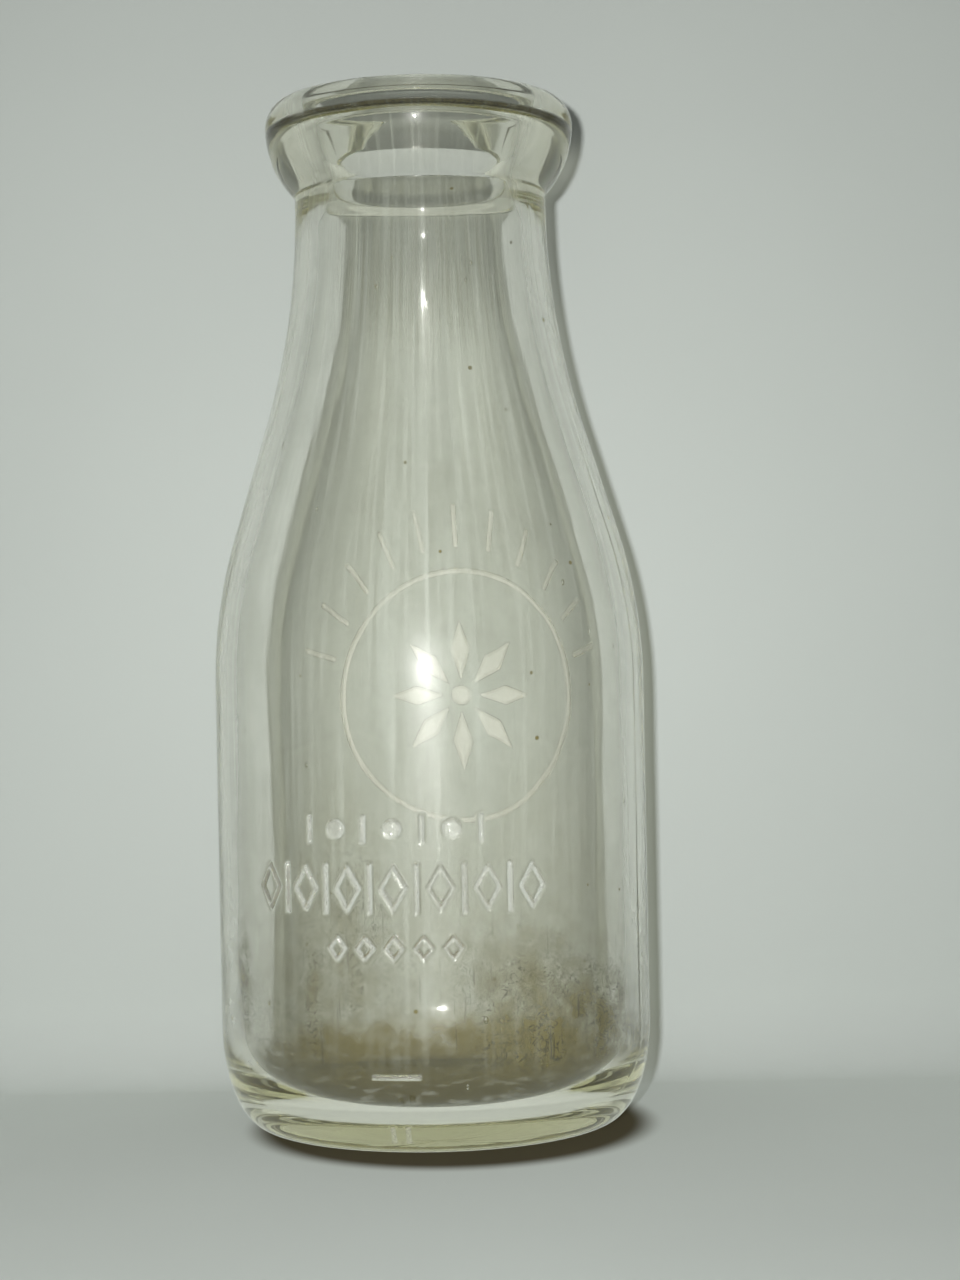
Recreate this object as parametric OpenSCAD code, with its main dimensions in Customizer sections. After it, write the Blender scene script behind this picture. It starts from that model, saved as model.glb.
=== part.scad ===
// Round one-pint milk bottle in clear pressed-and-blown glass, closed by a paper disc in its mouth.
// It stands upright on its bearing ring: +Z is the bottle's axis and z = 0 is the rest plane.
// The side with the three rows of relief faces -Y.

/* [Overall] */
// Height from the rest plane to the rim
bottle_h = 184.2; // [150:0.2:225]
// Outside diameter of the body
body_d = 77.4; // [64:0.2:93]

/* [Glass] */
// Wall of the body and the shoulder
wall = 4; // [2.5:0.1:5]
// Glass under the edge of the cavity floor
base_t = 5.6; // [4:0.1:9]
// Rise of the cavity floor at its middle
floor_rise = 1.6; // [0:0.1:3]

/* [Heel and base] */
// How far the heel curve runs in from the side
heel_w = 8.2; // [5:0.1:12]
// How far the heel curve runs up the side
heel_h = 18.2; // [10:0.1:24]
// Width of the flat ring that the bottle stands on
bearing_w = 2; // [1:0.1:4]
// Rise of the push-up at the middle of the base
pushup_h = 2.6; // [1:0.1:4]
// Width of the curve between the cavity wall and its floor
floor_curve_w = 9; // [6:0.1:14]
// Height of the curve between the cavity wall and its floor
floor_curve_h = 12; // [6:0.1:20]

/* [Shoulder] */
// Radius of the outward curve where the body draws in
shoulder_r = 91; // [70:1:120]
// Radius of the inward curve that runs up into the neck
sweep_r = 137; // [100:1:170]
// Steepest lean of the shoulder, in degrees from upright
shoulder_lean = 17; // [12:0.5:24]

/* [Neck] */
// Wall of the neck
neck_wall = 4.4; // [3.5:0.1:5.4]
// How much wider the bore of the neck is than the throat, each side
bore_step = 0.1; // [0:0.05:0.5]
// Straight length of neck under the lip
neck_straight = 1.6; // [0.4:0.2:12]

/* [Lip] */
// Height of the lip from its crease to the rim
lip_h = 17; // [13:0.2:20]
// How far the lip stands out past its rim
lip_out = 4.1; // [3:0.1:6]
// Depth of the widest point of the lip below the rim
lip_wide_z = 4.8; // [4:0.1:6]
// Width of the flat rim on top
rim_w = 1.65; // [0.5:0.05:2.5]

/* [Mouth] */
// Bore that holds the paper disc
seat_d = 41.3; // [38:0.1:50]
// Depth of the disc's seat below the rim
seat_depth = 4.4; // [3.8:0.1:6]
// Radius that eases the mouth into the rim
mouth_ease = 1.4; // [0.8:0.1:2]
// Flat width of the seat
seat_w = 1; // [0.6:0.1:1.4]
// Radius of the seat's inner edge, where it turns down into the throat
brow_r = 1.45; // [0.5:0.05:2.5]
// How much the throat narrows from that edge down to its waist, each side
throat_draft = 1.4; // [0.6:0.1:1.6]
// Height of the waist above the crease
waist_up = 5.8; // [4:0.1:7]
// Height over which the waist widens into the neck again
waist_ease = 13; // [8:0.5:20]

/* [Relief] */
// How proud the moulded relief stands
relief_h = 0.5; // [0.2:0.05:0.8]
// Width of the raised lines
line_w = 1.1; // [0.8:0.1:1.6]
// Turn of the relief about the axis, in degrees
relief_turn = -9; // [-20:1:20]

/* [Front relief] */
// Height of the middle row
front_z = 45.4; // [36:0.2:60]
// Distance from the middle row to the rows above and below it
row_gap = 10; // [8.5:0.1:12]
// Height of the lozenges and bars in the middle row
tall_h = 8.8; // [6:0.1:10]
// Distance between the lozenges of the middle row, round the body
tall_pitch = 8; // [7:0.1:10]
// Height of the motifs in the other two rows
small_h = 5; // [3:0.1:6]
// Distance between the motifs of the other two rows, round the body
small_pitch = 5; // [4.5:0.1:6]

/* [Back relief] */
// Height of the middle of the ring
ring_z = 76; // [60:1:84]
// Diameter of the ring
ring_d = 50; // [36:1:54]
// Petals of the rosette in the ring
petals = 8; // [6:1:12]
// Length of a petal
petal_l = 12; // [8:0.5:14]
// Width of a petal
petal_w = 4; // [3:0.5:5]
// Rays that stand over the ring
rays = 11; // [5:1:13]
// Angle between two rays
ray_step = 15; // [10:1:16]
// Length of a ray
ray_l = 8; // [4:0.5:9]
// Gap between the ring and the rays
ray_gap = 4; // [2:0.5:5]

/* [Heel marks] */
// Height of the two upright ticks
tick_h = 3.2; // [2:0.1:4]
// Distance between the ticks
tick_gap = 2.8; // [2.2:0.1:4]
// Height of the middle of the ticks
tick_z = 3.8; // [3:0.1:5]
// Width of the dash over the ticks
dash_w = 8.6; // [4:0.2:12]
// Height of the dash
dash_z = 14; // [10:0.2:16]

/* [Hidden] */

glass_colour = [0.80, 0.84, 0.76, 0.55];
steps = 12;          // straight pieces in each curve of the outline
sink = 1;            // how deep the relief is rooted in the wall
waist_land = 1;      // length of the straight bore at the waist of the throat

body_r = body_d / 2;
cavity_r = body_r - wall;
bearing_r = body_r - heel_w;

// The paper disc sets its seat, and the throat, neck, rim and lip are all built round the seat.
seat_r = seat_d / 2;
throat_r = seat_r - seat_w - brow_r;
waist_r = throat_r - throat_draft;
bore_r = throat_r + bore_step;
neck_r = bore_r + neck_wall;
rim_r = seat_r + mouth_ease + rim_w;
lip_r = rim_r + lip_out;

crease_z = bottle_h - lip_h;
wide_z = bottle_h - lip_wide_z;
seat_z = bottle_h - seat_depth;
waist_z = crease_z + waist_up;

// Points of an elliptic arc about [x, z], from angle a0 to angle a1.
function arc(x, z, rx, rz, a0, a1) = [
    for (i = [0:steps])
        let (a = a0 + (a1 - a0) * i / steps)
            [x + rx * cos(a), z + rz * sin(a)]
];

// Points of a shallow dome with a small flat in its middle, from the axis out to radius r at height z.
function dome(r, z, rise) = [
    for (i = [0:steps])
        let (bulge = 1 - pow(max(i, 1) / steps, 2))
            [r * i / steps, z + rise * bulge]
];

// Points of an outline, from last to first.
function reversed(points) = [for (i = [len(points) - 1:-1:0]) points[i]];

// The shoulder is two curves with a straight cone between them. Both faces of the glass share its lean.
bend_r = shoulder_r + sweep_r;
lean = min(shoulder_lean, acos(1 - (body_r - neck_r) / bend_r));
function cone_h(low, high) = max(0, low - high - bend_r * (1 - cos(lean))) / tan(lean);
sweep_z = crease_z - neck_straight;
shoulder_z = sweep_z - bend_r * sin(lean) - cone_h(body_r, neck_r);

// Shoulder from a body of radius low to a neck of radius high, set off outwards by grow.
function shoulder(low, high, grow) = concat(
    arc(low - shoulder_r - grow, shoulder_z, shoulder_r + grow, shoulder_r + grow, 0, lean),
    arc(high + sweep_r - grow, shoulder_z + bend_r * sin(lean) + cone_h(low, high),
        sweep_r - grow, sweep_r - grow, 180 + lean, 180)
);

// Heel curve of the outside, set off outwards by grow.
function heel(grow) = arc(bearing_r, heel_h, heel_w + grow, heel_h + grow, -90, 0);

// Lip: one arc from the crease out to the widest point, and a rounded top up to the rim.
under_w = lip_r - neck_r;
under_h = wide_z - crease_z;
under_r = (under_w * under_w + under_h * under_h) / (2 * under_w);
lip = concat(
    arc(lip_r - under_r, wide_z, under_r, under_r, -asin(under_h / under_r), 0),
    arc(rim_r, wide_z, lip_out, lip_wide_z, 0, 90)
);

// Mouth from the rim down to the throat: eased edge, bore of the disc's seat, flat seat, rounded brow.
mouth = concat(
    arc(seat_r + mouth_ease, bottle_h - mouth_ease, mouth_ease, mouth_ease, 90, 180),
    [[seat_r, seat_z]],
    arc(throat_r + brow_r, seat_z - brow_r, brow_r, brow_r, 90, 180)
);

// Inside of the wall up to where the waist begins, and the curve from there to the short bore of the waist.
inner_side = [for (p = shoulder(cavity_r, bore_r, -wall)) if (p[1] < waist_z - waist_ease) p];
inner_top = inner_side[len(inner_side) - 1];
waist_low = waist_z - waist_land / 2;
waist = [
    for (i = [0:steps])
        let (t = i / steps, share = t * t * (3 - 2 * t))
            [inner_top[0] + (waist_r - inner_top[0]) * share, inner_top[1] + (waist_low - inner_top[1]) * t]
];

// Inside from the waist down to the middle of the cavity floor.
cavity = concat(
    [[waist_r, waist_z + waist_land / 2]],
    reversed(waist),
    reversed([for (i = [0:len(inner_side) - 2]) inner_side[i]]),
    arc(cavity_r - floor_curve_w, base_t + floor_curve_h, floor_curve_w, floor_curve_h, 0, -90),
    reversed(dome(cavity_r - floor_curve_w, base_t, floor_rise))
);

glass_outline = concat(
    dome(bearing_r - bearing_w, 0, pushup_h),
    heel(0),
    shoulder(body_r, neck_r, 0),
    lip,
    mouth,
    cavity
);

// Skin of the body and the shoulder, from inside the wall out to the face of the relief.
function skin_side(grow) = concat(heel(grow), shoulder(body_r + grow, neck_r + grow, grow));
module skin(proud) {
    rotate_extrude($fn = 180)
        polygon(concat(skin_side(proud), reversed(skin_side(-sink))));
}

// Angle round the body that a distance along its surface takes up.
function turn(along) = along / body_r * 180 / PI;

// Stands a flat motif in the wall, along millimetres round the body from the middle of the front.
module stamp(along, z) {
    rotate([0, 0, relief_turn + turn(along)])
        translate([0, 0, z])
            rotate([90, 0, 0])
                linear_extrude(body_r + 2)
                    children();
}

module diamond(w, h) {
    polygon([[w / 2, 0], [0, h / 2], [-w / 2, 0], [0, -h / 2]]);
}

module lozenge(w, h) {
    inner_w = w - 2 * line_w;
    difference() {
        diamond(w, h);
        diamond(inner_w, h * inner_w / w);
    }
}

module bar(h) {
    square([line_w, h], center = true);
}

// Beads and bars in the top row, lozenges and bars in the middle, lozenges in the bottom row.
module front_relief() {
    for (i = [-3:3])
        stamp(i * small_pitch, front_z + row_gap)
            if (i % 2 == 0) circle(d = small_h * 0.7, $fn = 24); else bar(small_h);
    for (i = [-3:3])
        stamp(i * tall_pitch, front_z) lozenge(tall_h * 0.6, tall_h);
    for (i = [-2.5:2.5])
        stamp(i * tall_pitch, front_z) bar(tall_h);
    for (i = [-2:2])
        stamp(i * small_pitch, front_z - row_gap) lozenge(small_h * 0.8, small_h);
}

// Plain ring with a rosette in it and a fan of rays over it.
half_round = PI * body_r;
module back_relief() {
    stamp(half_round, ring_z) {
        difference() {
            circle(d = ring_d, $fn = 90);
            circle(d = ring_d - 2 * line_w, $fn = 90);
        }
        for (i = [0:petals - 1])
            rotate(i * 360 / petals)
                translate([petal_l * 0.75, 0])
                    diamond(petal_l, petal_w);
        circle(d = petal_w, $fn = 24);
    }
    ray_r = ring_d / 2 + ray_gap + ray_l / 2;
    for (i = [0:rays - 1])
        let (a = (i - (rays - 1) / 2) * ray_step)
            stamp(half_round + ray_r * sin(a), ring_z + ray_r * cos(a))
                rotate(-a) bar(ray_l);
}

// Two upright ticks and a dash low on the front of the heel.
module heel_marks() {
    for (side = [-1, 1])
        stamp(side * tick_gap / 2, tick_z) bar(tick_h);
    stamp(0, dash_z) square([dash_w, line_w], center = true);
}

module bottle() {
    color(glass_colour) {
        rotate_extrude($fn = 180)
            polygon(glass_outline);
        intersection() {
            skin(relief_h);
            union() {
                front_relief();
                back_relief();
                heel_marks();
            }
        }
    }
}

bottle();
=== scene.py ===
# A round one-pint milk bottle in clear old glass, standing before a pale cloth sweep.
import math

import bmesh
import bpy
from mathutils import Matrix, Vector, noise


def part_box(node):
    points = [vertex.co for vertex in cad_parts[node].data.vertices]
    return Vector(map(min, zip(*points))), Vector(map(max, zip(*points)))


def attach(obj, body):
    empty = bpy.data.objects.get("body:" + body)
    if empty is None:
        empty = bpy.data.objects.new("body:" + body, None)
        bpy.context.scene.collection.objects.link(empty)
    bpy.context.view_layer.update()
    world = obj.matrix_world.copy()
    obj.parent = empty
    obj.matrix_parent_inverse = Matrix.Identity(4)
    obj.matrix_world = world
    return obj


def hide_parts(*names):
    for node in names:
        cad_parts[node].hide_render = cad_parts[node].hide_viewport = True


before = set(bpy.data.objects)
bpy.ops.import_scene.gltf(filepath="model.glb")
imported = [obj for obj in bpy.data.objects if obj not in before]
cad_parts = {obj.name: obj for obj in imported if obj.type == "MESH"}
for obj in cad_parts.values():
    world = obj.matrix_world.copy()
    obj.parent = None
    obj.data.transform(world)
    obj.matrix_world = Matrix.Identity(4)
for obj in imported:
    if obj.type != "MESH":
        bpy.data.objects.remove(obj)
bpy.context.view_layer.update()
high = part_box("bottle")[1]
scene = bpy.context.scene
scene.view_settings.view_transform = "Standard"
mm = 0.001

# ---------------------------------------------------------------------------------------------
# Camera: a long lens in front of the relief, level with the middle of the body, a little to the
# right of the axis and rolled by about a degree.
# ---------------------------------------------------------------------------------------------
view_x = 9.3 * mm
view_far = 462.5 * mm
view_z = 86.6 * mm
view_roll = 0.02
view_lens = 71.66

lens = bpy.data.cameras.new("studio_camera")
lens.sensor_fit = "VERTICAL"
lens.sensor_height = 36
lens.sensor_width = 36
lens.lens = view_lens
camera = bpy.data.objects.new("studio_camera", lens)
camera.location = (view_x, -view_far, view_z)
camera.rotation_euler = (math.pi / 2, view_roll, 0)
scene.collection.objects.link(camera)
scene.camera = camera


# ---------------------------------------------------------------------------------------------
# Studio: a white cotton cloth hangs close behind the bottle and sweeps out under it. It shows
# only from its front, so that views from behind look past it. One small lamp just left of the
# camera gives the sparkle and the cast shadow, and a dim even room fills in the rest. The contact
# shadow round the base and the shade of the cloth's folds are painted into the cloth.
# ---------------------------------------------------------------------------------------------
cloth_white = (0.578, 0.617, 0.578)
cloth_y = high.y + 6 * mm
cloth_half, cloth_top = 1.6, 1.5
cove, cove_steps = 14.5 * mm, 16
# Painted shade of soft folds in the cloth: its scale per metre and its strength.
fold_shade_scale, fold_shade_tone = 9, 0.05
thread_scale, thread_h, thread_depth = 1400, 0.1 * mm, 0.15
lamp_place = Vector((-12 * mm, -462 * mm, 105 * mm))
lamp_aim = Vector((0, 0, 90 * mm))
lamp_power, lamp_spread = 0.5, 1.6
lamp_size = (11 * mm, 6 * mm)
fill_full, held_near, held_far = 0.8, 0.53, 0.08
held_from, held_to = 0.5, 1
fill_from, fill_to = 0.17, 0.33
# Painted contact shadow round the base: its middle, its narrowing across, its inner and outer radii, its
# tint.
painted_shadow_place = (2.8 * mm, -5 * mm, 0)
painted_shadow_narrow = 1.13
painted_shadow_in, painted_shadow_out = 36 * mm, 43 * mm
painted_shadow_tint = (0.14, 0.115, 0.075, 1)
room_light, room_seen = 0.13, 0.62
room_white = (0.84, 0.9, 0.84, 1)


def new_material(name):
    material = bpy.data.materials.new(name)
    material.use_nodes = True
    nodes = material.node_tree.nodes
    nodes.clear()
    return material, nodes, material.node_tree.links


def put_in_order(parts, place):
    """Sorts a mesh's vertices or faces by place, as the operators' own order changes from run to run."""
    for rank, part in enumerate(sorted(parts, key=place)):
        part.index = rank
    parts.sort()


def mesh_object(name, mesh_maker, material):
    put_in_order(mesh_maker.verts, lambda v: v.co[:])
    put_in_order(mesh_maker.faces, lambda f: f.calc_center_median()[:])
    mesh = bpy.data.meshes.new(name)
    mesh_maker.to_mesh(mesh)
    mesh_maker.free()
    mesh.materials.append(material)
    for face in mesh.polygons:
        face.use_smooth = True
    thing = bpy.data.objects.new(name, mesh)
    scene.collection.objects.link(thing)
    return thing


def set_input(tree, value, socket):
    """Links a socket, or sets a plain value."""
    if isinstance(value, bpy.types.NodeSocket):
        tree.links.new(value, socket)
    else:
        socket.default_value = value


def calc(tree, operation, *values, clamp=False):
    """A Math node on sockets or plain numbers."""
    node = tree.nodes.new("ShaderNodeMath")
    node.operation = operation
    node.use_clamp = clamp
    for socket, value in zip(node.inputs, values):
        set_input(tree, value, socket)
    return node.outputs[0]


def vector_calc(tree, operation, *values, output="Vector"):
    """A Vector Math node on sockets or plain vectors."""
    node = tree.nodes.new("ShaderNodeVectorMath")
    node.operation = operation
    for socket, value in zip(node.inputs, values):
        set_input(tree, value, socket)
    return node.outputs[output]


def spread_over(tree, value, start, end, low_value=0, high_value=1):
    """A Map Range node, eased at both ends."""
    node = tree.nodes.new("ShaderNodeMapRange")
    node.interpolation_type = "SMOOTHSTEP"
    tree.links.new(value, node.inputs["Value"])
    ends = {"From Min": start, "From Max": end, "To Min": low_value, "To Max": high_value}
    for name, number in ends.items():
        node.inputs[name].default_value = number
    return node.outputs["Result"]


def tinted(tree, share, first, second):
    """A colour that goes from first to second, each a plain colour or a socket."""
    node = tree.nodes.new("ShaderNodeMix")
    node.data_type = "RGBA"
    tree.links.new(share, node.inputs["Factor"])
    set_input(tree, first, node.inputs["A"])
    set_input(tree, second, node.inputs["B"])
    return node.outputs["Result"]


def noise_node(tree, place, scale, detail=2):
    node = tree.nodes.new("ShaderNodeTexNoise")
    node.inputs["Scale"].default_value = scale
    node.inputs["Detail"].default_value = detail
    tree.links.new(place, node.inputs["Vector"])
    return node


def cloth_colour(tree, place, is_seen):
    """The cloth's white with faint painted shade of folds, and a painted contact shadow round the bottle's
    base where the camera sees it.
    """
    # Painted shade of faint folds: the white goes darker and lighter in soft noise.
    darker, lighter = ([c * (1 + turn * fold_shade_tone) for c in cloth_white] + [1] for turn in (-1, 1))
    shaded_white = tinted(tree, noise_node(tree, place, fold_shade_scale, 3).outputs["Fac"], darker, lighter)
    # Painted contact shadow: darker in an ellipse round the base, only where the camera sees the cloth.
    off_base = vector_calc(tree, "SUBTRACT", place, painted_shadow_place)
    narrowed = vector_calc(tree, "MULTIPLY", off_base, (painted_shadow_narrow, 1, 1))
    from_base = vector_calc(tree, "LENGTH", narrowed, output="Value")
    painted_shadow = calc(tree, "MULTIPLY", spread_over(tree, from_base, painted_shadow_out, painted_shadow_in), is_seen)
    return vector_calc(tree, "MULTIPLY", shaded_white, tinted(tree, painted_shadow, (1, 1, 1, 1), painted_shadow_tint))


def fill_strength(tree, place, normal, path):
    """How much the cloth is filled up to its own colour, where it turns from the lamp or lies far out."""
    towards_lamp = (lamp_place - Vector((0, cloth_y - cove, 0))).normalized()
    facing_lamp = vector_calc(tree, "DOT_PRODUCT", normal, towards_lamp, output="Value")
    unlit = calc(tree, "SUBTRACT", 1, facing_lamp, clamp=True)
    from_bottle = vector_calc(tree, "DISTANCE", place, lamp_aim, output="Value")
    unlit = calc(tree, "MAXIMUM", unlit, spread_over(tree, from_bottle, fill_from, fill_to))
    from_lamp = vector_calc(tree, "DISTANCE", place, lamp_place, output="Value")
    held_back = spread_over(tree, from_lamp, held_from, held_to, held_near, held_far)
    held_back = calc(tree, "MULTIPLY", path.outputs["Is Camera Ray"], held_back)
    seen = calc(tree, "SUBTRACT", 1, path.outputs["Is Diffuse Ray"])
    seen = calc(tree, "MULTIPLY", seen, calc(tree, "SUBTRACT", fill_full, held_back))
    return calc(tree, "MULTIPLY", unlit, seen)


def cloth_material():
    material, nodes, links = new_material("studio_cloth")
    tree = material.node_tree
    place = nodes.new("ShaderNodeTexCoord").outputs["Object"]
    shape = nodes.new("ShaderNodeNewGeometry")
    path = nodes.new("ShaderNodeLightPath")
    colour = cloth_colour(tree, place, path.outputs["Is Camera Ray"])
    weave = nodes.new("ShaderNodeBump")
    weave.inputs["Strength"].default_value = thread_depth
    weave.inputs["Distance"].default_value = thread_h
    links.new(noise_node(tree, place, thread_scale).outputs["Fac"], weave.inputs["Height"])
    cotton = nodes.new("ShaderNodeBsdfDiffuse")
    links.new(colour, cotton.inputs["Color"])
    links.new(weave.outputs["Normal"], cotton.inputs["Normal"])
    lit = nodes.new("ShaderNodeEmission")
    links.new(colour, lit.inputs["Color"])
    links.new(fill_strength(tree, place, shape.outputs["Normal"], path), lit.inputs["Strength"])
    fill = nodes.new("ShaderNodeAddShader")
    links.new(cotton.outputs[0], fill.inputs[0])
    links.new(lit.outputs[0], fill.inputs[1])
    clear = nodes.new("ShaderNodeBsdfTransparent")
    one_sided = nodes.new("ShaderNodeMixShader")
    links.new(shape.outputs["Backfacing"], one_sided.inputs[0])
    links.new(fill.outputs[0], one_sided.inputs[1])
    links.new(clear.outputs[0], one_sided.inputs[2])
    out = nodes.new("ShaderNodeOutputMaterial")
    links.new(one_sided.outputs[0], out.inputs["Surface"])
    return material


def cloth_strip(name, side_points, material):
    """A wide strip of cloth along X, through the points of its side view."""
    bm = bmesh.new()
    row = [bm.verts.new((-cloth_half, y, z)) for y, z in side_points]
    edges = [bm.edges.new(pair) for pair in zip(row, row[1:])]
    made = bmesh.ops.extrude_edge_only(bm, edges=edges)["geom"]
    far = [v for v in made if isinstance(v, bmesh.types.BMVert)]
    bmesh.ops.translate(bm, verts=far, vec=(2 * cloth_half, 0, 0))
    for face in bm.faces:
        if face.normal.y > 0.01 or face.normal.z < -0.01:
            face.normal_flip()
    mesh_object(name, bm, material)


cloth = cloth_material()
bend = [math.pi / 2 * i / cove_steps for i in range(cove_steps + 1)]
cloth_strip(
    "cloth_sweep",
    [(-cloth_half, 0)]
    + [(cloth_y - cove + cove * math.sin(a), cove - cove * math.cos(a)) for a in bend]
    + [(cloth_y, cloth_top)],
    cloth,
)
cloth_strip("cloth_behind", [(cloth_y - cove, 0), (cloth_half, 0)], cloth)

lamp = bpy.data.lights.new("small_lamp", "AREA")
lamp.shape = "RECTANGLE"
lamp.size, lamp.size_y = lamp_size
lamp.energy = lamp_power
lamp.spread = lamp_spread
small_lamp = bpy.data.objects.new("small_lamp", lamp)
small_lamp.location = lamp_place
small_lamp.rotation_euler = (lamp_aim - lamp_place).to_track_quat("-Z", "Y").to_euler()
small_lamp.visible_camera = False
scene.collection.objects.link(small_lamp)

room = bpy.data.worlds.new("room")
room.use_nodes = True
nodes, links = room.node_tree.nodes, room.node_tree.links
nodes.clear()
path = nodes.new("ShaderNodeLightPath")
dim = nodes.new("ShaderNodeBackground")
dim.inputs["Color"].default_value = (1, 1, 1, 1)
dim.inputs["Strength"].default_value = room_light
pale = nodes.new("ShaderNodeBackground")
pale.inputs["Color"].default_value = room_white
pale.inputs["Strength"].default_value = room_seen
pick = nodes.new("ShaderNodeMixShader")
links.new(path.outputs["Is Diffuse Ray"], pick.inputs[0])
links.new(pale.outputs[0], pick.inputs[1])
links.new(dim.outputs[0], pick.inputs[2])
out = nodes.new("ShaderNodeOutputWorld")
links.new(pick.outputs[0], out.inputs["Surface"])
scene.world = room


# ---------------------------------------------------------------------------------------------
# Bottle: one piece of clear soda glass, pressed and blown in a two-part mould with a ring for
# the lip. The relief was cut into the mould. The wall is thick and a little wavy inside.
# ---------------------------------------------------------------------------------------------
glass_bounces, clear_bounces = 48, 16
scene.cycles.max_bounces = glass_bounces
scene.cycles.transmission_bounces = glass_bounces
scene.cycles.glossy_bounces = glass_bounces
scene.cycles.transparent_max_bounces = clear_bounces

bottle_h = high.z
body_r = high.x
wall = 4 * mm
base_t, floor_rise = 5.6 * mm, 1.6 * mm
heel_w, heel_h = 8.2 * mm, 18.2 * mm
bearing_w, pushup_h = 2 * mm, 2.6 * mm
floor_curve_w, floor_curve_h = 9 * mm, 12 * mm
shoulder_r, sweep_r = 91 * mm, 137 * mm
lean = math.radians(17)
seat_r, seat_depth, seat_w, brow_r = 20.65 * mm, 4.4 * mm, 1 * mm, 1.45 * mm
mouth_ease, rim_w = 1.4 * mm, 1.65 * mm
lip_h, lip_out, lip_wide_z = 17 * mm, 4.1 * mm, 4.8 * mm
neck_wall, bore_step, neck_straight = 4.4 * mm, 0.1 * mm, 1.6 * mm
throat_draft, waist_up, waist_ease, waist_land = 1.4 * mm, 5.8 * mm, 13 * mm, 1 * mm

cavity_r = body_r - wall
bearing_r = body_r - heel_w
throat_r = seat_r - seat_w - brow_r
waist_r = throat_r - throat_draft
bore_r = throat_r + bore_step
neck_r = bore_r + neck_wall
rim_r = seat_r + mouth_ease + rim_w
lip_r = rim_r + lip_out
crease_z = bottle_h - lip_h
wide_z = bottle_h - lip_wide_z
seat_z = bottle_h - seat_depth
waist_z = crease_z + waist_up
sweep_z = crease_z - neck_straight
bend_r = shoulder_r + sweep_r


def cone_h(wide, narrow):
    return max(0, wide - narrow - bend_r * (1 - math.cos(lean))) / math.tan(lean)


shoulder_z = sweep_z - bend_r * math.sin(lean) - cone_h(body_r, neck_r)
outer_step, inner_step, dome_step, heel_step, floor_step = 1.35 * mm, 2.4 * mm, 2.2 * mm, 0.9 * mm, 1 * mm
under_step, lip_step, mouth_step = 0.8 * mm, 0.5 * mm, 0.25 * mm
crease_ease, seat_ease = 0.45 * mm, 0.35 * mm
fillet_steps, flare_steps = 4, 14


def arc(x, z, rx, rz, start, end, step):
    """Points of an elliptic arc about (x, z), from angle start to angle end in degrees."""
    start, end = math.radians(start), math.radians(end)
    count = max(2, math.ceil(abs(end - start) * max(rx, rz) / step))
    turns = [start + (end - start) * i / count for i in range(count + 1)]
    return [(x + rx * math.cos(a), z + rz * math.sin(a)) for a in turns]


def line(x0, z0, x1, z1, step):
    """Points of a straight line without its ends."""
    count = max(1, round(math.hypot(x1 - x0, z1 - z0) / step))
    shares = [i / count for i in range(1, count)]
    return [(x0 + (x1 - x0) * t, z0 + (z1 - z0) * t) for t in shares]


def dome(r, z, rise, step):
    """Points of a shallow dome from the axis out to radius r."""
    count = round(r / step)
    return [(r * i / count, z + rise * (1 - (i / count) ** 2)) for i in range(count + 1)]


def shoulder(wide, narrow, grow, step):
    """Shoulder from radius wide to radius narrow: two curves and the cone between them."""
    lean_deg = math.degrees(lean)
    low_r, high_r = shoulder_r + grow, sweep_r - grow
    low_bend = arc(wide - low_r, shoulder_z, low_r, low_r, 0, lean_deg, step)
    top_z = shoulder_z + bend_r * math.sin(lean) + cone_h(wide, narrow)
    high_bend = arc(narrow + high_r, top_z, high_r, high_r, 180 + lean_deg, 180, step)
    return low_bend + line(*low_bend[-1], *high_bend[0], step) + high_bend


def fillet(corner, before, after, size):
    """Points that round a corner between two neighbours."""
    to_before = (Vector(before) - Vector(corner)).normalized() * size
    to_after = (Vector(after) - Vector(corner)).normalized() * size
    shares = [i / fillet_steps for i in range(fillet_steps + 1)]
    return [tuple(Vector(corner) + to_before * (1 - t) ** 2 + to_after * t ** 2) for t in shares]


def smooth_share(share):
    return share * share * (3 - 2 * share)


def throat():
    """Inside from the brow down through the waist, and on to where the wall of the neck takes over."""
    wall_side = [p for p in shoulder(cavity_r, bore_r, -wall, inner_step) if p[1] < waist_z - waist_ease]
    low_r, low_z = wall_side[-1]
    waist_high, waist_low = waist_z + waist_land / 2, waist_z - waist_land / 2
    grow, drop = low_r - waist_r, low_z - waist_low
    shares = [i / flare_steps for i in range(flare_steps + 1)]
    flare = [(waist_r + grow * smooth_share(t), waist_low + drop * t) for t in shares]
    taper = line(throat_r, seat_z - brow_r, waist_r, waist_high, under_step)
    return taper + [(waist_r, waist_high)] + flare, wall_side[-2::-1]


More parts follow.
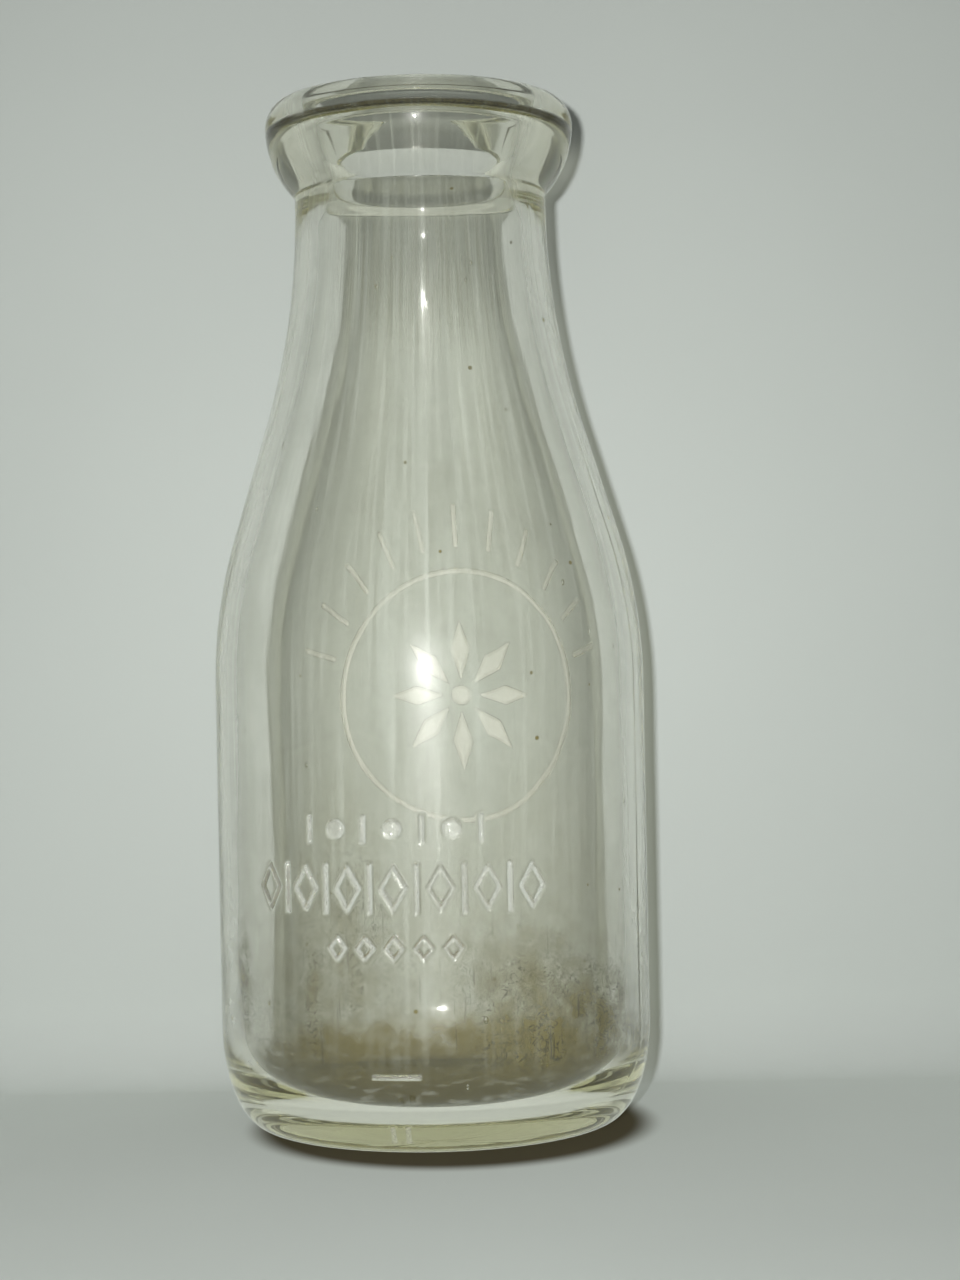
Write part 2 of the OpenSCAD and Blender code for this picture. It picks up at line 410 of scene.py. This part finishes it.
def bottle_outline():
    under_w, under_h = lip_r - neck_r, wide_z - crease_z
    under_r = (under_w ** 2 + under_h ** 2) / (2 * under_w)
    under_turn = -math.degrees(math.asin(under_h / under_r))
    lip_under = arc(lip_r - under_r, wide_z, under_r, under_r, under_turn, 0, under_step)
    neck_side = shoulder(body_r, neck_r, 0, outer_step)
    crease = fillet((neck_r, crease_z), neck_side[-1], lip_under[2], crease_ease)
    lip_top = arc(rim_r, wide_z, lip_out, lip_wide_z, 0, 90, lip_step)
    mouth = arc(seat_r + mouth_ease, bottle_h - mouth_ease, mouth_ease, mouth_ease, 90, 180, mouth_step)
    bore_end = (seat_r, bottle_h - mouth_ease)
    seat = fillet((seat_r, seat_z), bore_end, (seat_r - seat_w, seat_z), seat_ease)
    brow = arc(throat_r + brow_r, seat_z - brow_r, brow_r, brow_r, 90, 180, mouth_step)
    throat_side, inner_shoulder = throat()
    floor_r = cavity_r - floor_curve_w
    floor_curve = arc(floor_r, base_t + floor_curve_h, floor_curve_w, floor_curve_h, 0, -90, floor_step)
    heel = arc(bearing_r, heel_h, heel_w, heel_h, -90, 0, heel_step)
    return (
        dome(bearing_r - bearing_w, 0, pushup_h, dome_step)
        + line(bearing_r - bearing_w, 0, *heel[0], 0.7 * mm)
        + heel
        + line(*heel[-1], *neck_side[0], outer_step)
        + neck_side
        + crease
        + lip_under[1:]
        + lip_top[1:]
        + line(*lip_top[-1], *mouth[0], 0.6 * mm)
        + mouth
        + line(*bore_end, *seat[0], 0.7 * mm)
        + seat
        + line(*seat[-1], *brow[0], 0.3 * mm)
        + brow
        + throat_side
        + inner_shoulder
        + line(*inner_shoulder[-1], *floor_curve[0], inner_step)
        + floor_curve
        + dome(floor_r, base_t, floor_rise, dome_step)[::-1][1:]
    )


def outer_r(z):
    """Radius of the outside of the glass at height z, from the rest plane up to the crease."""
    bend_top = shoulder_z + shoulder_r * math.sin(lean)
    sweep_low = sweep_z - sweep_r * math.sin(lean)
    if z < heel_h:
        return bearing_r + heel_w * math.sqrt(max(0, 1 - (1 - z / heel_h) ** 2))
    if z < shoulder_z:
        return body_r
    if z < bend_top:
        return body_r - shoulder_r + math.sqrt(shoulder_r ** 2 - (z - shoulder_z) ** 2)
    if z < sweep_low:
        return body_r - shoulder_r * (1 - math.cos(lean)) - (z - bend_top) * math.tan(lean)
    return neck_r + sweep_r - math.sqrt(sweep_r ** 2 - min(0, z - sweep_z) ** 2)


heel_low, floor_low, skin = 0.6 * mm, 4 * mm, 1 * mm


def is_outside(v):
    """Whether a vertex of the glass is on its outside, from the heel up to the crease."""
    return heel_low < v.co.z < crease_z and math.hypot(v.co.x, v.co.y) > outer_r(v.co.z) - skin


def is_inside(v):
    """Whether a vertex of the glass is on its inside, from the cavity floor up to the disc's seat."""
    if v.co.z < crease_z:
        return v.co.z > floor_low and not is_outside(v)
    return v.co.z < seat_z + 2 * mm and math.hypot(v.co.x, v.co.y) < seat_r + 0.1 * mm


sectors = 192
relief_turn = math.radians(-9)
start_x, start_y = math.sin(relief_turn), -math.cos(relief_turn)
bm = bmesh.new()
row = [bm.verts.new((r * start_x, r * start_y, z)) for r, z in bottle_outline()]
wire = [bm.edges.new(pair) for pair in zip(row, row[1:])]
bmesh.ops.spin(
    bm, geom=row + wire, cent=(0, 0, 0), axis=(0, 0, 1), dvec=(0, 0, 0), angle=math.tau,
    steps=sectors, use_merge=True, use_normal_flip=False, use_duplicate=False,
)
bmesh.ops.remove_doubles(bm, verts=bm.verts, dist=0.01 * mm)
bmesh.ops.recalc_face_normals(bm, faces=bm.faces)

# The two halves of the mould left a fine seam up each side.
seam_h, seam_w = 0.05 * mm, 1 * mm


def off_seam(v):
    """Distance of a vertex from the plane of the two seams."""
    return abs(v.co.x * start_x + v.co.y * start_y)


seam_edges = [
    e for e in bm.edges
    if all(is_outside(v) and off_seam(v) < 0.05 * mm and v.co.z < crease_z - 1 * mm for v in e.verts)
]
bmesh.ops.bevel(
    bm, geom=seam_edges, offset=seam_w / 2, offset_type="OFFSET", segments=2, profile=0.5,
    affect="EDGES", clamp_overlap=True, material=-1,
)

# Relief, drawn flat: x runs round the body and z up it, and each distance is negative inside a motif.
relief_h, line_w = 0.5 * mm, 1.1 * mm
front_z, row_gap = 45.4 * mm, 10 * mm
tall_h, tall_pitch, small_h, small_pitch = 8.8 * mm, 8 * mm, 5 * mm, 5 * mm
ring_z, ring_r = 76 * mm, 25 * mm
petals, petal_l, petal_w = 8, 12 * mm, 4 * mm
rays, ray_step, ray_l, ray_gap = 11, math.radians(15), 8 * mm, 4 * mm
tick_h, tick_gap, tick_z = 3.2 * mm, 2.8 * mm, 3.8 * mm
dash_w, dash_z = 8.6 * mm, 14 * mm
dot_share, tall_slim, small_slim, petal_out = 0.35, 0.6, 0.8, 0.75


def bar(w, h):
    def distance(x, z):
        return max(abs(x) - w / 2, abs(z) - h / 2)
    return distance


def disc(r):
    def distance(x, z):
        return math.hypot(x, z) - r
    return distance


def diamond(w, h):
    slope = 1 / math.hypot(2 / w, 2 / h)

    def distance(x, z):
        return (2 * abs(x) / w + 2 * abs(z) / h - 1) * slope
    return distance


def lozenge(w, h):
    outside, hole = diamond(w, h), diamond(w - 2 * line_w, h * (w - 2 * line_w) / w)

    def distance(x, z):
        return max(outside(x, z), -hole(x, z))
    return distance


def ring(r):
    def distance(x, z):
        return abs(math.hypot(x, z) - r + line_w / 2) - line_w / 2
    return distance


def turned(shape, angle, out=0):
    """A shape pushed out along X and then turned about its origin."""
    c, s = math.cos(angle), math.sin(angle)

    def distance(x, z):
        return shape(x * c + z * s - out, z * c - x * s)
    return distance


# Each stamp is a motif, its turn about the axis, its height and how far it reaches from its middle.
stamps = []


def stamp(along, z, reach, shape):
    stamps.append((relief_turn + along / body_r, z, reach, shape))


for i in range(-3, 4):
    small = bar(line_w, small_h) if i % 2 else disc(small_h * dot_share)
    stamp(i * small_pitch, front_z + row_gap, small_h, small)
    stamp(i * tall_pitch, front_z, tall_h, lozenge(tall_h * tall_slim, tall_h))
for i in range(-3, 3):
    stamp((i + 0.5) * tall_pitch, front_z, tall_h, bar(line_w, tall_h))
for i in range(-2, 3):
    stamp(i * small_pitch, front_z - row_gap, small_h, lozenge(small_h * small_slim, small_h))
stamp(-tick_gap / 2, tick_z, tick_h, bar(line_w, tick_h))
stamp(tick_gap / 2, tick_z, tick_h, bar(line_w, tick_h))
stamp(0, dash_z, dash_w, bar(dash_w, line_w))

half_round = math.pi * body_r
stamp(half_round, ring_z, ring_r + 2 * mm, ring(ring_r))
stamp(half_round, ring_z, petal_w, disc(petal_w / 2))
for i in range(petals):
    petal = turned(diamond(petal_l, petal_w), math.tau * i / petals, petal_l * petal_out)
    stamp(half_round, ring_z, petal_l * 2 * petal_out, petal)
ray_r = ring_r + ray_gap + ray_l / 2
for i in range(rays):
    a = (i - (rays - 1) / 2) * ray_step
    along, up = ray_r * math.sin(a), ray_r * math.cos(a)
    stamp(half_round + along, ring_z + up, ray_l, turned(bar(line_w, ray_l), -a))


far_off, same_side = 9 * mm, 1.4


def relief_distance(x, y, z):
    """Distance on the surface from a point to the edge of the nearest motif, negative inside it."""
    r = math.hypot(x, y)
    angle = math.atan2(x, -y)
    nearest = far_off
    for turn, middle_z, reach, shape in stamps:
        up = z - middle_z
        if abs(up) > reach:
            continue
        across = math.remainder(angle - turn, math.tau)
        if abs(across) > same_side or abs(r * math.sin(across)) > reach:
            continue
        nearest = min(nearest, shape(r * math.sin(across), up))
    return nearest


# The glass is divided more finely along the motifs' edges, in two rounds.
relief_low, relief_high = 1 * mm, 116 * mm
near_edge = (1.3 * mm, 0.62 * mm)
for near in near_edge:
    fine = [
        v for v in bm.verts
        if relief_low < v.co.z < relief_high and is_outside(v) and abs(relief_distance(*v.co)) < near
    ]
    faces = {f for v in fine for f in v.link_faces}
    edges = list({e for f in faces for e in f.edges})
    bmesh.ops.subdivide_edges(bm, edges=edges, cuts=1, use_grid_fill=True)
    for v in bm.verts:
        if relief_low < v.co.z < relief_high and is_outside(v):
            r = math.hypot(v.co.x, v.co.y)
            v.co.xy *= outer_r(v.co.z) / r
bm.normal_update()

# Milk dried inside: brown on the floor and low on the wall, more of it in patches, and a line at the disc's
# seat. Each patch is its turn about the axis, its height, its reach round and up, and its strength.
patches = (
    (math.radians(42), 19 * mm, 15 * mm, 9 * mm, 0.7),
    (math.radians(24), 25 * mm, 5 * mm, 8 * mm, 0.35),
    (math.radians(60), 12 * mm, 14 * mm, 9 * mm, 0.4),
    (math.radians(-34), 29 * mm, 1.2 * mm, 8 * mm, 0.5),
    (math.radians(-63), 29 * mm, 2 * mm, 9 * mm, 0.5),
    (math.radians(-150), 34 * mm, 12 * mm, 22 * mm, 0.3),
    (math.radians(160), 22 * mm, 16 * mm, 10 * mm, 0.35),
)
floor_brown, floor_brown_z, floor_fade = 0.85, base_t + 10 * mm, 9 * mm
wall_brown, corner_brown, wall_brown_z = 0.12, 0.33, 75 * mm
seat_brown_low, seat_brown_h, seat_brown_w, seat_brown_top = 0.9 * mm, 0.65 * mm, 1 * mm, 1.7


def clamped(share):
    return min(1, max(0, share))


def brown_at(x, y, z):
    """How brown the inside is at a point, from 0 to 1."""
    if z > seat_z - seat_brown_low:
        above = (z - seat_z) / seat_brown_h
        inwards = (seat_r - math.hypot(x, y)) / seat_brown_w
        return clamped(min(1, seat_brown_top - above) * min(1, 2 - inwards))
    angle = math.atan2(x, -y)
    share = floor_brown * clamped((floor_brown_z - z) / floor_fade)
    around = wall_brown + corner_brown * abs(math.sin(2 * angle))
    share += smooth_share(clamped(1 - z / wall_brown_z)) * around
    for turn, middle_z, wide, tall, strength in patches:
        along = math.remainder(angle - turn, math.tau) * cavity_r
        share += strength * math.exp(-(along / wide) ** 2 - ((z - middle_z) / tall) ** 2)
    return clamped(share)


relief_edge = 0.22 * mm
wave_h, wave_w, wave_tall = 0.14 * mm, 17 * mm, 40 * mm
wave_low, wave_high = base_t + floor_curve_h, crease_z - 8 * mm
wave_low_fade, wave_high_fade = 8 * mm, 12 * mm
raised = bm.verts.layers.float.new("relief")
inside = bm.verts.layers.float.new("inside")
browned = bm.verts.layers.float.new("brown")
moves = []
for v in bm.verts:
    x, y, z = v.co
    if is_outside(v):
        share = 0
        if z < relief_high:
            share = smooth_share(clamped(-relief_distance(x, y, z) / (2 * relief_edge)))
        v[raised] = share
        grow = relief_h * share
        if off_seam(v) < 0.05 * mm and z < crease_z - 1 * mm:
            grow = max(grow, seam_h)
        moves.append((v, v.normal * grow))
    elif is_inside(v):
        v[inside] = 1
        v[browned] = brown_at(x, y, z)
        if wave_low < z < wave_high:
            fade = min(1, (z - wave_low) / wave_low_fade, (wave_high - z) / wave_high_fade)
            wave = noise.noise(Vector((x / wave_w, y / wave_w, z / wave_tall)))
            moves.append((v, v.normal * wave * wave_h * fade))
for v, move in moves:
    v.co += move

# Seeds: small bubbles in the wall, drawn out upwards. Each is its turn in degrees, and its height and its
# radius in millimetres.
seed_tall = 1.6
seeds = (
    (-12, 153, 0.22), (-19, 148, 0.3), (24, 152, 0.3), (21, 149, 0.24), (-57, 121, 0.3), (41, 96, 0.35),
    (-33, 66, 0.28), (63, 58, 0.3), (14, 23, 0.45), (9, 12, 0.28), (-48, 25, 0.26), (118, 88, 0.4),
    (152, 31, 0.35), (-132, 112, 0.3), (-168, 40, 0.26), (88, 27, 0.3), (-97, 71, 0.34), (-84, 142, 0.22),
)
for turn, seed_z, seed_r in seeds:
    turn, seed_z, seed_r = math.radians(turn), seed_z * mm, seed_r * mm
    middle_r = outer_r(seed_z) - wall / 2
    place = Matrix.Translation((middle_r * math.sin(turn), -middle_r * math.cos(turn), seed_z))
    made = bmesh.ops.create_icosphere(
        bm, subdivisions=2, radius=seed_r, matrix=place @ Matrix.Diagonal((1, 1, seed_tall, 1)),
    )
    bubble = {f for v in made["verts"] for f in v.link_faces}
    bmesh.ops.reverse_faces(bm, faces=list(bubble))


def round_body(tree, place):
    """Object coordinates drawn out onto the body's cylinder, so that streaks run straight up the neck."""
    outwards = tree.nodes.new("ShaderNodeVectorMath")
    outwards.operation = "SCALE"
    outwards.inputs["Scale"].default_value = body_r
    unit = vector_calc(tree, "NORMALIZE", vector_calc(tree, "MULTIPLY", place, (1, 1, 0)))
    tree.links.new(unit, outwards.inputs[0])
    return vector_calc(tree, "MULTIPLY_ADD", place, (0, 0, 1), outwards.outputs["Vector"])


def pattern(tree, place, across, up, detail, warp=0):
    """Noise on a place, with its own scale across and up, per metre."""
    stretch = tree.nodes.new("ShaderNodeMapping")
    stretch.inputs["Scale"].default_value = (across, across, up)
    tree.links.new(place, stretch.inputs["Vector"])
    node = noise_node(tree, stretch.outputs["Vector"], 1, detail)
    node.inputs["Distortion"].default_value = warp
    return node.outputs["Fac"]


def marks(tree, place, grain, edge):
    """Marks where a pattern passes an edge, which is soft from its first value to its second."""
    return spread_over(tree, pattern(tree, place, *grain), *edge)


def mesh_value(tree, name):
    node = tree.nodes.new("ShaderNodeAttribute")
    node.attribute_name = name
    return node.outputs["Fac"]


def axes_of(tree, place):
    node = tree.nodes.new("ShaderNodeSeparateXYZ")
    tree.links.new(place, node.inputs["Vector"])
    return node.outputs


def times(tree, first, *others):
    """The product of several shares."""
    for other in others:
        first = calc(tree, "MULTIPLY", first, other)
    return first


def plus(tree, first, *others):
    """The sum of several shares."""
    for other in others:
        first = calc(tree, "ADD", first, other)
    return first


off_floor_z = (11 * mm, 17 * mm)
under_seat = (seat_z - 1.2 * mm, seat_z - 0.6 * mm)
over_seat = (seat_z + 0.8 * mm, seat_z + 0.3 * mm)
mottle_grain, mottle_edge = (260, 260, 6), (0.28, 0.72)
brown_thin, brown_mottle, brown_thick = 0.28, 0.72, 0.45
hair_grain, hair_edge, hair_brown, hair_share = (300, 300, 5, 2.5), (0.03, 0.006), (0.15, 0.55), 0.75
dash_grain, dash_edge, dash_low, dash_share = (1500, 95, 3), (0.6, 0.7), (52 * mm, 30 * mm), 0.45
speck_scale, speck_edge = 95, (0.045, 0.025)
brown_milk = (0.18, 0.152, 0.045, 1)
old_brown = (0.05, 0.043, 0.016, 1)


def old_marks(tree, place, round_place, height, browned, cavity):
    """Hair-like scratches where the brown was brushed, and short dark dashes low on the wall."""
    hair_lines = calc(tree, "SUBTRACT", pattern(tree, place, *hair_grain), 0.5)
    hairs = spread_over(tree, calc(tree, "ABSOLUTE", hair_lines), *hair_edge)
    hairs = times(tree, hairs, spread_over(tree, browned, *hair_brown), hair_share)
    dashes = marks(tree, round_place, dash_grain, dash_edge)
    dashes = times(tree, dashes, spread_over(tree, height, *dash_low), dash_share)
    dark = calc(tree, "MAXIMUM", hairs, dashes)
    return times(tree, dark, cavity, spread_over(tree, height, *off_floor_z))


def brown_cover(tree, place, height, cavity, browned, old_share):
    """How much the dried brown hides the glass. It is mottled, and thick on the floor and at the seat."""
    off_floor = spread_over(tree, height, *off_floor_z)
    mottle = marks(tree, place, mottle_grain, mottle_edge)
    on_floor = calc(tree, "SUBTRACT", 1, off_floor)
    thick = calc(tree, "MAXIMUM", on_floor, spread_over(tree, height, *under_seat))
    mottle = plus(tree, times(tree, mottle, brown_mottle), brown_thin, times(tree, thick, brown_thick))
    share = calc(tree, "MULTIPLY", browned, mottle, clamp=True)
    share = times(tree, calc(tree, "MAXIMUM", share, old_share), spread_over(tree, height, *over_seat))

    # On the floor it lies loose, so that it shows from the cavity and not through the base.
    side = tree.nodes.new("ShaderNodeNewGeometry")
    from_cavity = calc(tree, "SUBTRACT", 1, side.outputs["Backfacing"])
    share = times(tree, share, calc(tree, "MAXIMUM", from_cavity, off_floor))
    specks = tree.nodes.new("ShaderNodeTexVoronoi")
    specks.inputs["Scale"].default_value = speck_scale
    tree.links.new(place, specks.inputs["Vector"])
    speck_share = times(tree, spread_over(tree, specks.outputs["Distance"], *speck_edge), cavity)
    return calc(tree, "MAXIMUM", share, speck_share)


cloud_grain, cloud_edge = (60, 45, 4), (0.36, 0.66)
run_grain, run_edge = (620, 22, 3), (0.42, 0.75)
drip_grain, drip_edge = (1500, 60, 2), (0.44, 0.62)
film_all, film_runs, film_clouds, film_drips = 0.08, 0.07, 0.18, 0.27
film_at_side, side_y = 0.25, (10 * mm, 27 * mm)
drips_from, drips_to = (crease_z - 34 * mm, crease_z - 18 * mm), (crease_z - 3 * mm, crease_z - 9 * mm)
drips_y = (22 * mm, 33 * mm)
pale_milk = (0.62, 0.66, 0.6, 1)
grey_milk = (0.26, 0.27, 0.21, 1)


def film_cover(tree, place, round_place, height, cavity, runs):
    """How much the thin film hides the glass: clouds all over, runs down the wall, and fine drips under the
    lip, where the milk stood and dried from. It thins out towards the two seams."""
    from_side = calc(tree, "ABSOLUTE", axes_of(tree, round_place)["Y"])
    clouds = marks(tree, place, cloud_grain, cloud_edge)
    drips = marks(tree, round_place, drip_grain, drip_edge)
    drips = times(tree, drips, spread_over(tree, height, *drips_from), spread_over(tree, height, *drips_to))
    drips = times(tree, drips, spread_over(tree, from_side, *drips_y))
    share = plus(tree, times(tree, runs, film_runs), film_all)
    share = plus(tree, share, times(tree, clouds, film_clouds), times(tree, drips, film_drips))
    share = times(tree, share, spread_over(tree, from_side, *side_y, film_at_side, 1))
    return times(tree, share, cavity, spread_over(tree, height, *off_floor_z))


# The white on the relief's tops is partly frost and, mostly on the back, a painted highlight for the lamp's
# glints.
frost_and_glint_white = (0.92, 0.93, 0.88, 1)
frost_and_glint_edge, frost_and_glint_y, frost_and_glint_front, frost_and_glint_back = (0.02, 0.3), (0, 5 * mm), 0.16, 0.75
old_edge, seat_aged = (0.05, 0.4), 0.6
film_hides, least_hidden = 0.6, 0.01
scuff_grain, scuff_edge = (150, 900, 4), (0.58, 0.78)
smooth_glass, scuff_dull, film_dull, brown_dull, relief_dull = 0.012, 0.04, 0.1, 0.2, 0.08
pebble_grain, line_grain, ripple_grain = (1300, 1300, 1), (900, 14, 1), (110, 45, 1)
pebble_h, drawn_h, ripple_h = 0.3, 0.006, 0.05
drawn_from, drawn_to = (crease_z - 55 * mm, crease_z - 38 * mm), (crease_z - 4 * mm, crease_z - 12 * mm)
glass_ior, sheen_share, sheen_spread = 1.52, 0.11, 0.25
glass_tint, glass_density = (0.647, 0.6, 0.087, 1), 11
flat_pass, edge_pass = (0.985, 0.987, 0.982, 1), (0.42, 0.41, 0.34, 1)
wall_pass = ((0.15, 0.955), (0.4, 0.83), (0.7, 0.66))
lip_pass, flare_pass, focus_share = 0.26, 0.84, 0.5
lip_pass_z = (crease_z + 7 * mm, crease_z + 14 * mm)
flare_pass_z, flare_end_z = (crease_z - 26 * mm, crease_z - 8 * mm), (crease_z - 2 * mm, crease_z + 4 * mm)


def light_passed(tree, height, neck_lines):
    """How much of a lamp's light the wall lets by: nearly all head on, and little where it is edge on."""
    facing = tree.nodes.new("ShaderNodeLayerWeight")
    facing.inputs["Blend"].default_value = 0.5
    passed = tree.nodes.new("ShaderNodeValToRGB")
    ramp = passed.color_ramp
    ramp.elements[0].color = flat_pass
    ramp.elements[1].color = edge_pass
    for at, share in wall_pass:
        ramp.elements.new(at).color = (share, share, share * 0.99, 1)
    tree.links.new(facing.outputs["Facing"], passed.inputs["Fac"])

    # The lip is a strong lens and throws most of the light aside, and the flare under it throws some.
    lip_share = spread_over(tree, height, *lip_pass_z, 1, lip_pass)
    flare_share = spread_over(tree, height, *flare_pass_z, 1, flare_pass)
    flare_end = spread_over(tree, height, *flare_end_z)
    lip_share = times(tree, lip_share, calc(tree, "MAXIMUM", flare_share, flare_end))
    focus = times(tree, neck_lines, focus_share)
    passed_here = tree.nodes.new("ShaderNodeVectorMath")
    passed_here.operation = "SCALE"
    tree.links.new(passed.outputs["Color"], passed_here.inputs[0])
    tree.links.new(times(tree, lip_share, plus(tree, focus, 1)), passed_here.inputs["Scale"])
    return passed_here.outputs["Vector"]


def glass_material():
    material, nodes, links = new_material("clear_old_glass")
    tree = material.node_tree
    place = nodes.new("ShaderNodeTexCoord").outputs["Object"]
    round_place = round_body(tree, place)
    axes = axes_of(tree, place)
    height = axes["Z"]
    relief, cavity, browned = (mesh_value(tree, name) for name in ("relief", "inside", "brown"))

    # Dried milk on the inside: brown, dark where it is oldest, over a thin grey film with pale runs. The
    # tops of the relief are white, partly frost and, much more on the back, a painted highlight for glints.
    old_share = old_marks(tree, place, round_place, height, browned, cavity)
    brown_share = brown_cover(tree, place, height, cavity, browned, old_share)
    runs = marks(tree, round_place, run_grain, run_edge)
    film_share = film_cover(tree, place, round_place, height, cavity, runs)
    # Painted highlight: the relief tops turn white, much more on the back than on the front.
    proud = spread_over(tree, relief, *frost_and_glint_edge)
    frost_and_glint = times(tree, proud, spread_over(tree, axes["Y"], *frost_and_glint_y, frost_and_glint_front, frost_and_glint_back))
    dried_and_glint_share = calc(tree, "MAXIMUM", brown_share, calc(tree, "MAXIMUM", film_share, frost_and_glint))
    film_and_glint_colour = tinted(tree, proud, tinted(tree, runs, grey_milk, pale_milk), frost_and_glint_white)
    at_seat = spread_over(tree, height, *under_seat, 0, seat_aged)
    aged = calc(tree, "MAXIMUM", spread_over(tree, old_share, *old_edge), at_seat)
    brown_colour = tinted(tree, aged, brown_milk, old_brown)
    either = plus(tree, brown_share, times(tree, film_share, film_hides), least_hidden)
    dried_and_glint_colour = tinted(tree, calc(tree, "DIVIDE", brown_share, either), film_and_glint_colour, brown_colour)
    dried_and_glint = nodes.new("ShaderNodeBsdfPrincipled")
    links.new(dried_and_glint_colour, dried_and_glint.inputs["Base Color"])
    dried_and_glint.inputs["Roughness"].default_value = 0.9
    dried_and_glint.inputs["Specular IOR Level"].default_value = 0

    # Scuffs from the crate round the body and the shoulder, and the film, dull the polish.
    scuffs = marks(tree, place, scuff_grain, scuff_edge)
    dull = plus(tree, times(tree, scuffs, scuff_dull), times(tree, runs, cavity, film_dull))
    dull = plus(tree, dull, times(tree, brown_share, brown_dull), times(tree, relief, relief_dull))

    # The relief is pebbly from the cut mould, the neck is drawn in fine lines, and the rest ripples.
    in_neck = times(tree, spread_over(tree, height, *drawn_from), spread_over(tree, height, *drawn_to))
    lines = pattern(tree, round_place, *line_grain)
    pebbles = times(tree, pattern(tree, place, *pebble_grain), relief, pebble_h)
    drawn = times(tree, lines, in_neck, drawn_h)
    ripples = times(tree, pattern(tree, round_place, *ripple_grain), ripple_h)
    bump = nodes.new("ShaderNodeBump")
    bump.inputs["Strength"].default_value = 1
    bump.inputs["Distance"].default_value = 1 * mm
    links.new(plus(tree, pebbles, drawn, ripples), bump.inputs["Height"])

    glass = nodes.new("ShaderNodeBsdfPrincipled")
    glass.inputs["Base Color"].default_value = (1, 1, 1, 1)
    links.new(plus(tree, dull, smooth_glass), glass.inputs["Roughness"])
    links.new(bump.outputs["Normal"], glass.inputs["Normal"])
    glass.inputs["Transmission Weight"].default_value = 1
    glass.inputs["IOR"].default_value = glass_ior
    glass.inputs["Coat Weight"].default_value = sheen_share
    glass.inputs["Coat Roughness"].default_value = sheen_spread
    soiled_and_glinting = nodes.new("ShaderNodeMixShader")
    links.new(dried_and_glint_share, soiled_and_glinting.inputs[0])
    links.new(glass.outputs[0], soiled_and_glinting.inputs[1])
    links.new(dried_and_glint.outputs[0], soiled_and_glinting.inputs[2])

    # Light on its way from a lamp, or between matt things, goes straight through the wall.
    shine_through = nodes.new("ShaderNodeBsdfTransparent")
    neck_lines = times(tree, calc(tree, "SUBTRACT", lines, 0.5), in_neck)
    links.new(light_passed(tree, height, neck_lines), shine_through.inputs["Color"])
    path = nodes.new("ShaderNodeLightPath")
    straight_on = calc(tree, "MAXIMUM", path.outputs["Is Shadow Ray"], path.outputs["Is Diffuse Ray"])
    pick = nodes.new("ShaderNodeMixShader")
    links.new(straight_on, pick.inputs[0])
    links.new(soiled_and_glinting.outputs[0], pick.inputs[1])
    links.new(shine_through.outputs[0], pick.inputs[2])
    tint = nodes.new("ShaderNodeVolumeAbsorption")
    tint.inputs["Color"].default_value = glass_tint
    tint.inputs["Density"].default_value = glass_density
    out = nodes.new("ShaderNodeOutputMaterial")
    links.new(pick.outputs[0], out.inputs["Surface"])
    links.new(tint.outputs[0], out.inputs["Volume"])
    return material


bottle = mesh_object("bottle_glass", bm, glass_material())
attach(bottle, "root")
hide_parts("bottle")
